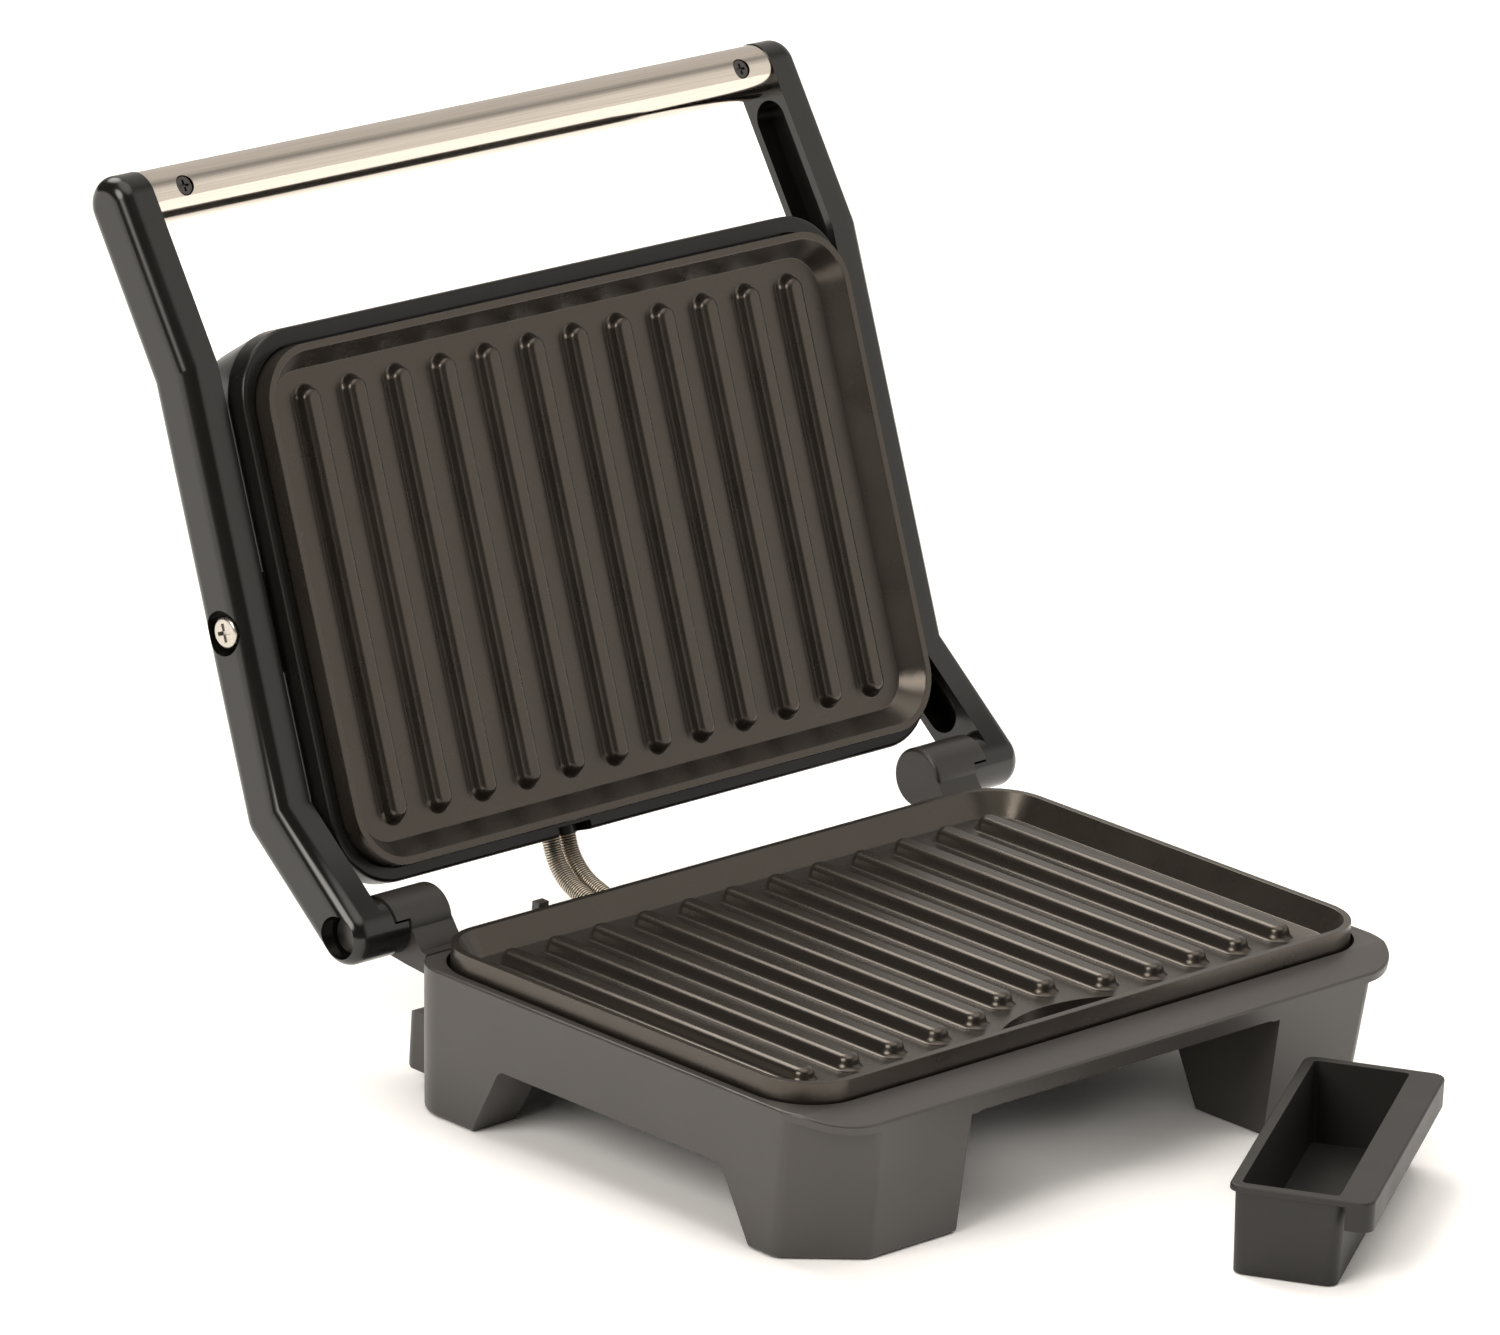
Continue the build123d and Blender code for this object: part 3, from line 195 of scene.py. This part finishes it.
class Finish:
    """Node tree of one finish, read on Object coordinates in metres."""

    def __init__(self, name):
        self.material = bpy.data.materials.new(name)
        self.material.use_nodes = True
        self.tree = self.material.node_tree
        self.shader = self.tree.nodes["Principled BSDF"]
        self.coords = self.tree.nodes.new("ShaderNodeTexCoord").outputs["Object"]

    def link(self, out, into):
        self.tree.links.new(out, into)

    def noise(self, scale, detail=2.0, stretch=(1, 1, 1), roughness=0.5):
        """Noise output; stretch squeezes the pattern along each axis."""
        where = self.coords
        if tuple(stretch) != (1, 1, 1):
            mapping = self.tree.nodes.new("ShaderNodeMapping")
            mapping.inputs["Scale"].default_value = stretch
            self.link(self.coords, mapping.inputs["Vector"])
            where = mapping.outputs["Vector"]
        node = self.tree.nodes.new("ShaderNodeTexNoise")
        node.inputs["Scale"].default_value = scale
        node.inputs["Detail"].default_value = detail
        node.inputs["Roughness"].default_value = roughness
        self.link(where, node.inputs["Vector"])
        return node.outputs["Fac"]

    def span(self, value, low, high, start=0.3, end=0.7):
        node = self.tree.nodes.new("ShaderNodeMapRange")
        for name, number in (("From Min", start), ("From Max", end), ("To Min", low), ("To Max", high)):
            node.inputs[name].default_value = number
        self.link(value, node.inputs["Value"])
        return node.outputs["Result"]

    def tint(self, value, colour, low, high, start=0.3, end=0.7):
        """Colour that runs from low to high times the given one with a pattern."""
        ramp = self.tree.nodes.new("ShaderNodeValToRGB")
        for element, place, share in zip(ramp.color_ramp.elements, (start, end), (low, high)):
            element.position = place
            element.color = (*[min(1.0, c * share) for c in colour], 1)
        self.link(value, ramp.inputs["Fac"])
        self.link(ramp.outputs["Color"], self.shader.inputs["Base Color"])

    def bump(self, value, strength, distance):
        node = self.tree.nodes.new("ShaderNodeBump")
        node.inputs["Strength"].default_value = strength
        node.inputs["Distance"].default_value = distance
        self.link(value, node.inputs["Height"])
        return node.outputs["Normal"]

    def painted_shade(self, stored, share):
        """Painted shade: colour that falls to a share of itself where a stored value is low."""
        read = self.tree.nodes.new("ShaderNodeAttribute")
        read.attribute_name = stored
        scaled = self.tree.nodes.new("ShaderNodeVectorMath")
        scaled.operation = "SCALE"
        colour = self.shader.inputs["Base Color"]
        self.link(colour.links[0].from_socket, scaled.inputs["Vector"])
        self.link(self.span(read.outputs["Fac"], share, 1.0), scaled.inputs["Scale"])
        self.link(scaled.outputs["Vector"], colour)

    def rough(self, value, low, high):
        self.link(self.span(value, low, high), self.shader.inputs["Roughness"])

    def normal(self, out):
        self.link(out, self.shader.inputs["Normal"])


# Patterns of the finishes, in repeats per metre, and their heights in metres
TONE_PATCHES, GLOSS_PATCHES, GRAIN_HEIGHT = 14, 40, 0.00006
SPECKLE, SPRAY_GLOSS, SPRAY_GRAIN, SPRAY_HEIGHT = 2600, 55, 1500, 0.00005
LINE_HEIGHT = 0.00004
CREST = "crest"          # stored on a conduit: 0 in a groove, 1 on top of a rib; it steers the shade painted into the grooves
COATING_SHINE = 0.8
COATING_SHINE_TINT = (1.0, 0.89, 0.77, 1)


def moulded(name, colour, low, high, grain, depth, specular=0.5):
    """Moulded plastic: fine spark-eroded grain, slow change of gloss and tone."""
    f = Finish(name)
    f.tint(f.noise(TONE_PATCHES, 3), colour, 0.90, 1.10)
    f.rough(f.noise(GLOSS_PATCHES, 4), low, high)
    f.normal(f.bump(f.noise(1 / grain, 2), depth, GRAIN_HEIGHT))
    f.shader.inputs["Specular IOR Level"].default_value = specular
    return f.material


def coated(name, colour):
    """Sprayed non-stick coating on a casting: fine speckle over slow waves."""
    f = Finish(name)
    f.tint(f.noise(SPECKLE, 2, roughness=0.7), colour, 0.86, 1.16, 0.35, 0.65)
    f.rough(f.noise(SPRAY_GLOSS, 3), 0.25, 0.32)
    f.normal(f.bump(f.noise(SPRAY_GRAIN, 2, roughness=0.6), 0.30, SPRAY_HEIGHT))
    f.shader.inputs["Specular IOR Level"].default_value = COATING_SHINE
    f.shader.inputs["Specular Tint"].default_value = COATING_SHINE_TINT
    return f.material


def metal(name, colour, low, high, stretch=(1, 1, 1), scale=900, depth=0.06, shares=(0.92, 1.05),
          groove=1.0):
    """Bare metal with drawn or rolled lines; groove is the share of the colour left between ribs, where shade
    is painted into the grooves.
    """
    f = Finish(name)
    lines = f.noise(scale, 3, stretch)
    f.tint(lines, colour, *shares)
    f.rough(f.noise(scale * 0.7, 3, stretch), low, high)
    f.normal(f.bump(lines, depth, LINE_HEIGHT))
    f.shader.inputs["Metallic"].default_value = 1.0
    # Painted shade: the colour falls to the groove share down in the grooves between ribs
    if groove < 1:
        f.painted_shade(CREST, groove)
    return f.material


def finishes():
    """Every finish of the press by name, made once."""
    made = {m["press_key"]: m for m in bpy.data.materials if "press_key" in m}
    if made:
        return made
    p = bpy.context.scene.press_finish
    table = {
        "charcoal": moulded("charcoal_plastic_finish", p.charcoal, 0.32, 0.40, p.grain, 0.09),
        "arm_black": moulded("arm_plastic_finish", p.arm_black, 0.15, 0.21, p.grain, 0.03),
        "lid_black": moulded("lid_plastic_finish", p.lid_black, 0.26, 0.33, p.grain, 0.05, 0.32),
        "barrel_black": moulded("barrel_plastic_finish", p.barrel_black, 0.34, 0.42, p.grain, 0.09),
        "tray_black": moulded("tray_plastic_finish", p.tray_black, 0.46, 0.54, p.grain, 0.08, 0.4),
        "white_plastic": moulded("terminal_plastic_finish", (0.74, 0.72, 0.66), 0.45, 0.55, p.grain, 0.05),
        "rubber": moulded("bush_rubber_finish", (0.02, 0.02, 0.02), 0.60, 0.72, p.grain, 0.12, 0.3),
        "coating": coated("nonstick_coating_finish", p.coating),
        "brushed_steel": metal("brushed_handle_finish", p.steel, 0.10, 0.15, (0.01, 1, 1), 2400, 0.03),
        "bright_steel": metal("bright_steel_finish", (0.50, 0.47, 0.42), 0.22, 0.30, depth=0.02),
        # Conduit strip: shade is painted into its grooves, down to 0.08 of the colour
        "conduit_steel": metal("conduit_strip_finish", (0.62, 0.55, 0.46), 0.28, 0.36, depth=0.01, groove=0.08),
        "dark_screw": metal("blackened_screw_finish", (0.10, 0.095, 0.09), 0.30, 0.42, depth=0.05),
        "zinc": metal("zinc_screw_finish", (0.62, 0.61, 0.58), 0.26, 0.38, depth=0.06),
        "heater_sheath": metal("heater_sheath_finish", (0.33, 0.31, 0.28), 0.40, 0.55, depth=0.08,
                               shares=(0.8, 1.1)),
        "mill_aluminium": metal("mill_aluminium_finish", (0.80, 0.80, 0.79), 0.28, 0.42, (0.02, 1, 1),
                                1500, 0.05),
    }
    for key, material in table.items():
        material["press_key"] = key
    return table


def paint(obj, material):
    obj.data.materials.clear()
    obj.data.materials.append(material)


def finish_nodes(group):
    made = finishes()
    for node, key in FINISHED.get(group, ()):
        paint(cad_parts[node], made[key])


def dress(node, piece_name, body, slot, key, edge):
    """Merged copy of a node with its sharp edges softened; it stands for the node."""
    piece = bpy.data.objects.new(piece_name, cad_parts[node].data.copy())
    piece.data.name = piece_name
    bpy.context.scene.collection.objects.link(piece)
    select_only(piece)
    if piece.data.has_custom_normals:
        bpy.ops.mesh.customdata_custom_splitnormals_clear()
    bpy.ops.object.mode_set(mode="EDIT")
    bpy.ops.mesh.select_mode(type="EDGE")
    bpy.ops.mesh.select_all(action="SELECT")
    bpy.ops.mesh.remove_doubles(threshold=MERGE_NEAR)
    bpy.ops.mesh.dissolve_limited(angle_limit=math.radians(FLAT_WITHIN))
    bpy.ops.mesh.select_all(action="DESELECT")
    bpy.ops.mesh.edges_select_sharp(sharpness=math.radians(SHARP_OVER))
    bpy.ops.mesh.bevel(offset=edge, segments=EDGE_STEPS, clamp_overlap=True, loop_slide=False)
    bpy.ops.object.mode_set(mode="OBJECT")
    bpy.ops.object.shade_smooth_by_angle(angle=bpy.context.scene.press_finish.soft_angle)
    even = piece.modifiers.new("even_shading", "WEIGHTED_NORMAL")
    even.mode = "FACE_AREA"
    even.keep_sharp = True
    apply_modifiers(piece)
    paint(piece, finishes()[key])
    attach(piece, body)
    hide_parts(node)


class DressedGroup:
    """Shared work of the operators that dress one group of like pieces."""

    bl_options = {"REGISTER", "UNDO"}
    group = ""

    def execute(self, context):
        for row in DRESSED.get(self.group, ()):
            dress(*row)
        finish_nodes(self.group)
        return {"FINISHED"}


class PRESS_OT_base(DressedGroup, bpy.types.Operator):
    """Base, rear box and bottom cover"""

    bl_idname = "press.base"
    bl_label = "Base"
    group = "base"


class PRESS_OT_plates(DressedGroup, bpy.types.Operator):
    """Ribbed cooking plates"""

    bl_idname = "press.plates"
    bl_label = "Cooking plates"
    group = "plates"


class PRESS_OT_lid(DressedGroup, bpy.types.Operator):
    """Lid frame and lid back"""

    bl_idname = "press.lid"
    bl_label = "Lid"
    group = "lid"


class PRESS_OT_arms(DressedGroup, bpy.types.Operator):
    """Two cranked arms"""

    bl_idname = "press.arms"
    bl_label = "Arms"
    group = "arms"


class PRESS_OT_hinges(DressedGroup, bpy.types.Operator):
    """Stepped hinge barrels"""

    bl_idname = "press.hinges"
    bl_label = "Hinges"
    group = "hinges"


class PRESS_OT_tray(DressedGroup, bpy.types.Operator):
    """Loose drip tray"""

    bl_idname = "press.tray"
    bl_label = "Drip tray"
    group = "tray"


class PRESS_OT_handle(DressedGroup, bpy.types.Operator):
    """Steel handle tube and its screws"""

    bl_idname = "press.handle"
    bl_label = "Handle"
    group = "handle"


class PRESS_OT_fasteners(DressedGroup, bpy.types.Operator):
    """Screws and pins"""

    bl_idname = "press.fasteners"
    bl_label = "Fasteners"
    group = "fasteners"


class PRESS_OT_heaters(DressedGroup, bpy.types.Operator):
    """Heaters, pans and wiring pieces inside"""

    bl_idname = "press.heaters"
    bl_label = "Heaters"
    group = "heaters"


# Route of a conduit in the Y-Z plane, in metres and degrees:
# straight out of the base, one bend, straight into the lid
ROUTE_INLET = (0.0803, 0.03555)
ROUTE_OUTLET = (0.11462, 0.0573)
BEND_CENTRE = (0.09603, 0.05918)
BEND_RADIUS = 0.018
BEND_HEADINGS = (17.0, 68.66)
BEND_STEPS = 24

# One rib: points round it, and its profile as shares of its length and of the groove's depth
RING_POINTS = 40
RIB_PROFILE = ((0.12, 0.0), (0.10, 0.6), (0.12, 0.9), (0.16, 1.0),
               (0.16, 1.0), (0.12, 0.9), (0.10, 0.6), (0.12, 0.0))
RIB_MERGE = 1e-5
RIB_SMOOTH = 50          # degrees


def conduit_route(name, x):
    """Line of a conduit from the base to the lid."""
    first, last = (math.radians(a) for a in BEND_HEADINGS)
    spots = [ROUTE_INLET]
    for i in range(BEND_STEPS + 1):
        a = first + (last - first) * i / BEND_STEPS
        spots.append((BEND_CENTRE[0] + BEND_RADIUS * math.sin(a), BEND_CENTRE[1] - BEND_RADIUS * math.cos(a)))
    spots.append(ROUTE_OUTLET)
    curve = bpy.data.curves.new(name, "CURVE")
    curve.dimensions = "3D"
    spline = curve.splines.new("POLY")
    spline.points.add(len(spots) - 1)
    for point, (y, z) in zip(spline.points, spots):
        point.co = (x, y, z, 1)
    route = bpy.data.objects.new(name, curve)
    bpy.context.scene.collection.objects.link(route)
    return route


def place_along(spots, share):
    """Point at a share of a line's length."""
    left = share * sum((b - a).length for a, b in zip(spots, spots[1:]))
    for a, b in zip(spots, spots[1:]):
        run = (b - a).length
        if left <= run:
            return a.lerp(b, left / run)
        left -= run
    return spots[-1]


def ribbed_length(name, p, step, first, count, route):
    """Run of ribs along the route: one rib is modelled, repeated and bent."""
    small = p.diameter / 2 - p.groove
    bpy.ops.object.select_all(action="DESELECT")
    bpy.ops.mesh.primitive_circle_add(
        vertices=RING_POINTS, radius=small, location=(0, 0, 0), rotation=(0, math.pi / 2, 0))
    tube = bpy.context.object
    tube.name = tube.data.name = name
    bpy.ops.object.transform_apply(location=False, rotation=True, scale=True)
    bpy.ops.object.mode_set(mode="EDIT")
    bpy.ops.mesh.select_mode(type="EDGE")
    bpy.ops.mesh.select_all(action="SELECT")
    radius = small
    for run, height in RIB_PROFILE:
        grown = small + p.groove * height
        bpy.ops.mesh.extrude_region_move(TRANSFORM_OT_translate={"value": (run * step, 0, 0)})
        share = grown / radius
        bpy.ops.transform.resize(value=(1, share, share))
        radius = grown
    bpy.ops.object.mode_set(mode="OBJECT")
    array = tube.modifiers.new("ribs", "ARRAY")
    array.use_relative_offset = False
    array.use_constant_offset = True
    array.constant_offset_displace = (step, 0, 0)
    array.count = count
    array.use_merge_vertices = True
    array.merge_threshold = RIB_MERGE
    apply_modifiers(tube)
    # Height over the groove, read by the finish that paints shade into the grooves
    crest = tube.data.attributes.new(CREST, "FLOAT", "POINT")
    for vertex, stored in zip(tube.data.vertices, crest.data):
        stored.value = (math.hypot(vertex.co.y, vertex.co.z) - small) / p.groove
    tube.data.transform(Matrix.Translation((first * step, 0, 0)))
    wall = tube.modifiers.new("wall", "SOLIDIFY")
    wall.thickness = p.wall
    wall.offset = -1
    bend = tube.modifiers.new("bend", "CURVE")
    bend.object = route
    bend.deform_axis = "POS_X"
    apply_modifiers(tube)
    bpy.ops.object.mode_set(mode="EDIT")
    bpy.ops.mesh.select_all(action="SELECT")
    bpy.ops.mesh.normals_make_consistent(inside=False)
    bpy.ops.object.mode_set(mode="OBJECT")
    bpy.ops.object.shade_smooth_by_angle(angle=math.radians(RIB_SMOOTH))
    return tube


class PRESS_OT_conduits(bpy.types.Operator):
    """Ribbed metal conduits from the base to the lid"""

    bl_idname = "press.conduits"
    bl_label = "Conduits"
    bl_options = {"REGISTER", "UNDO"}

    def execute(self, context):
        p = context.scene.press_conduit
        steel = finishes()["conduit_steel"]
        finish_nodes("conduits")
        for side in ("left", "right"):
            node = "conduit_" + side
            low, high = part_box(node)
            x = (low.x + high.x) / 2
            route = conduit_route(node + "_route", x)
            line = bpy.data.meshes.new_from_object(route)
            spots = [v.co.copy() for v in line.vertices]
            length = sum((b - a).length for a, b in zip(spots, spots[1:]))
            step = length / p.ribs
            count = p.ribs - p.lid_ribs
            meet = place_along(spots, count / p.ribs)
            base_run = ribbed_length(node + "_base_run", p, step, 0, count, route)
            lid_run = ribbed_length(node + "_lid_run", p, step, count, p.lid_ribs, route)
            bpy.data.meshes.remove(line)
            bpy.data.objects.remove(route)
            for piece in (base_run, lid_run):
                paint(piece, steel)
                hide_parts(node)
            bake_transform(base_run)
            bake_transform(lid_run)
        return {"FINISHED"}


# Camera of the photograph: turn, lift and roll in radians, place in metres
CAMERA_TURN, CAMERA_LIFT, CAMERA_ROLL = -0.803690, 0.320446, 0.059447
CAMERA_PLACE = (-2.2149, -2.0659, 1.1349)
SENSOR_WIDTH = 36
CAMERA_CLIP = (0.1, 60)

FLOOR_SIZE = 40
FLOOR_DROP = 0.0003      # under the soles, so that no faces lie in one plane
FLOOR_COLOUR = (0.90, 0.88, 0.86, 1)


def floor_material(gain):
    """Pale floor that keeps the object's shadow; the camera and mirrors see it as bright white."""
    material = bpy.data.materials.new("studio_floor_finish")
    material.use_nodes = True
    tree = material.node_tree
    tree.nodes.remove(tree.nodes["Principled BSDF"])
    plain = tree.nodes.new("ShaderNodeBsdfDiffuse")
    plain.inputs["Color"].default_value = FLOOR_COLOUR
    seen = tree.nodes.new("ShaderNodeBsdfDiffuse")
    seen.inputs["Color"].default_value = (gain, gain, gain, 1)
    path = tree.nodes.new("ShaderNodeLightPath")
    share = path.outputs["Is Camera Ray"]
    for name in ("Is Glossy Ray", "Is Transmission Ray"):
        either = tree.nodes.new("ShaderNodeMath")
        either.operation = "MAXIMUM"
        tree.links.new(share, either.inputs[0])
        tree.links.new(path.outputs[name], either.inputs[1])
        share = either.outputs[0]
    mix = tree.nodes.new("ShaderNodeMixShader")
    tree.links.new(share, mix.inputs["Fac"])
    tree.links.new(plain.outputs["BSDF"], mix.inputs[1])
    tree.links.new(seen.outputs["BSDF"], mix.inputs[2])
    tree.links.new(mix.outputs["Shader"], tree.nodes["Material Output"].inputs["Surface"])
    return material


# Soft panels round the object: direction to the panel, half width in degrees where it is full
# and where it ends, and level
PANELS = (
    ((0.10, 0.63, 0.75), 10, 24, 5.4),
    ((-0.82, -0.06, 0.57), 8, 22, 7.6),
    ((0.69, -0.67, 0.28), 12, 40, 0.95),
    ((0.69, 0.45, 0.45), 15, 55, 0.62),
    ((0.05, -0.15, 1.00), 15, 38, 2.1),
)
ROOM_LEVEL = 0.08
ROOM_COLOUR = (1.0, 0.95, 0.89, 1)


def room_light(strength):
    """Plain soft room with wide panels."""
    world = bpy.data.worlds.new("studio_room")
    bpy.context.scene.world = world
    world.use_nodes = True
    tree = world.node_tree
    room = tree.nodes["Background"]
    coords = tree.nodes.new("ShaderNodeTexCoord").outputs["Generated"]
    level = None
    for toward, full, end, bright in PANELS:
        facing = tree.nodes.new("ShaderNodeVectorMath")
        facing.operation = "DOT_PRODUCT"
        facing.inputs[1].default_value = Vector(toward).normalized()
        tree.links.new(coords, facing.inputs[0])
        edge = tree.nodes.new("ShaderNodeMapRange")
        edge.interpolation_type = "SMOOTHSTEP"
        for name, number in (("From Min", math.cos(math.radians(end))),
                             ("From Max", math.cos(math.radians(full))), ("To Min", 0.0), ("To Max", bright)):
            edge.inputs[name].default_value = number
        tree.links.new(facing.outputs["Value"], edge.inputs["Value"])
        total = tree.nodes.new("ShaderNodeMath")
        total.operation = "ADD"
        total.inputs[1].default_value = ROOM_LEVEL
        tree.links.new(edge.outputs["Result"], total.inputs[0])
        if level is not None:
            tree.links.new(level, total.inputs[1])
        level = total.outputs["Value"]
    scaled = tree.nodes.new("ShaderNodeMath")
    scaled.operation = "MULTIPLY"
    scaled.inputs[1].default_value = strength
    tree.links.new(level, scaled.inputs[0])
    tree.links.new(scaled.outputs["Value"], room.inputs["Strength"])
    room.inputs["Color"].default_value = ROOM_COLOUR


class PRESS_OT_stage(bpy.types.Operator):
    """Camera, pale floor and soft studio light"""

    bl_idname = "press.stage"
    bl_label = "Stage"
    bl_options = {"REGISTER", "UNDO"}

    def execute(self, context):
        p = context.scene.press_stage
        turn, lift = CAMERA_TURN, CAMERA_LIFT
        back = Vector((math.sin(turn) * math.cos(lift), -math.cos(turn) * math.cos(lift), math.sin(lift)))
        right = Vector((math.cos(turn), math.sin(turn), 0))
        up = back.cross(right)
        c, s = math.cos(CAMERA_ROLL), math.sin(CAMERA_ROLL)
        columns = Matrix((right * c + up * s, up * c - right * s, back)).transposed()
        data = bpy.data.cameras.new("photo_camera")
        data.lens = p.lens
        data.sensor_width = SENSOR_WIDTH
        data.clip_start, data.clip_end = CAMERA_CLIP
        camera = bpy.data.objects.new("photo_camera", data)
        camera.matrix_world = Matrix.Translation(CAMERA_PLACE) @ columns.to_4x4()
        context.scene.collection.objects.link(camera)
        context.scene.camera = camera
        bpy.ops.object.select_all(action="DESELECT")
        bpy.ops.mesh.primitive_plane_add(size=FLOOR_SIZE, location=(0, 0, -FLOOR_DROP))
        floor = context.object
        floor.name = "studio_floor"
        paint(floor, floor_material(p.floor_gain))
        room_light(p.room)
        context.scene.view_settings.view_transform = "Standard"
        return {"FINISHED"}


# Operators in the order in which they run
PIECES = ("stage", "base", "plates", "lid", "arms", "hinges", "handle", "fasteners", "heaters", "conduits",
          "tray")


class PRESS_PT_panel(bpy.types.Panel):
    bl_idname = "PRESS_PT_panel"
    bl_label = "Panini press"
    bl_space_type = "VIEW_3D"
    bl_region_type = "UI"
    bl_category = "Press"

    def draw(self, context):
        column = self.layout.column()
        for name in PIECES:
            column.operator("press." + name)
        for group in ("press_finish", "press_conduit", "press_stage"):
            settings = getattr(context.scene, group)
            for key in settings.__annotations__:
                column.prop(settings, key)


CLASSES = (
    PressFinish, PressConduit, PressStage, PRESS_OT_stage, PRESS_OT_base, PRESS_OT_plates, PRESS_OT_lid,
    PRESS_OT_arms, PRESS_OT_hinges, PRESS_OT_handle, PRESS_OT_fasteners, PRESS_OT_heaters,
    PRESS_OT_conduits, PRESS_OT_tray, PRESS_PT_panel,
)


def register():
    for cls in CLASSES:
        bpy.utils.register_class(cls)
    bpy.types.Scene.press_finish = bpy.props.PointerProperty(type=PressFinish)
    bpy.types.Scene.press_conduit = bpy.props.PointerProperty(type=PressConduit)
    bpy.types.Scene.press_stage = bpy.props.PointerProperty(type=PressStage)


def unregister():
    del bpy.types.Scene.press_stage
    del bpy.types.Scene.press_conduit
    del bpy.types.Scene.press_finish
    for cls in reversed(CLASSES):
        bpy.utils.unregister_class(cls)


def main():
    register()
    for name in PIECES:
        getattr(bpy.ops.press, name)()


if __name__ == "__main__":
    main()
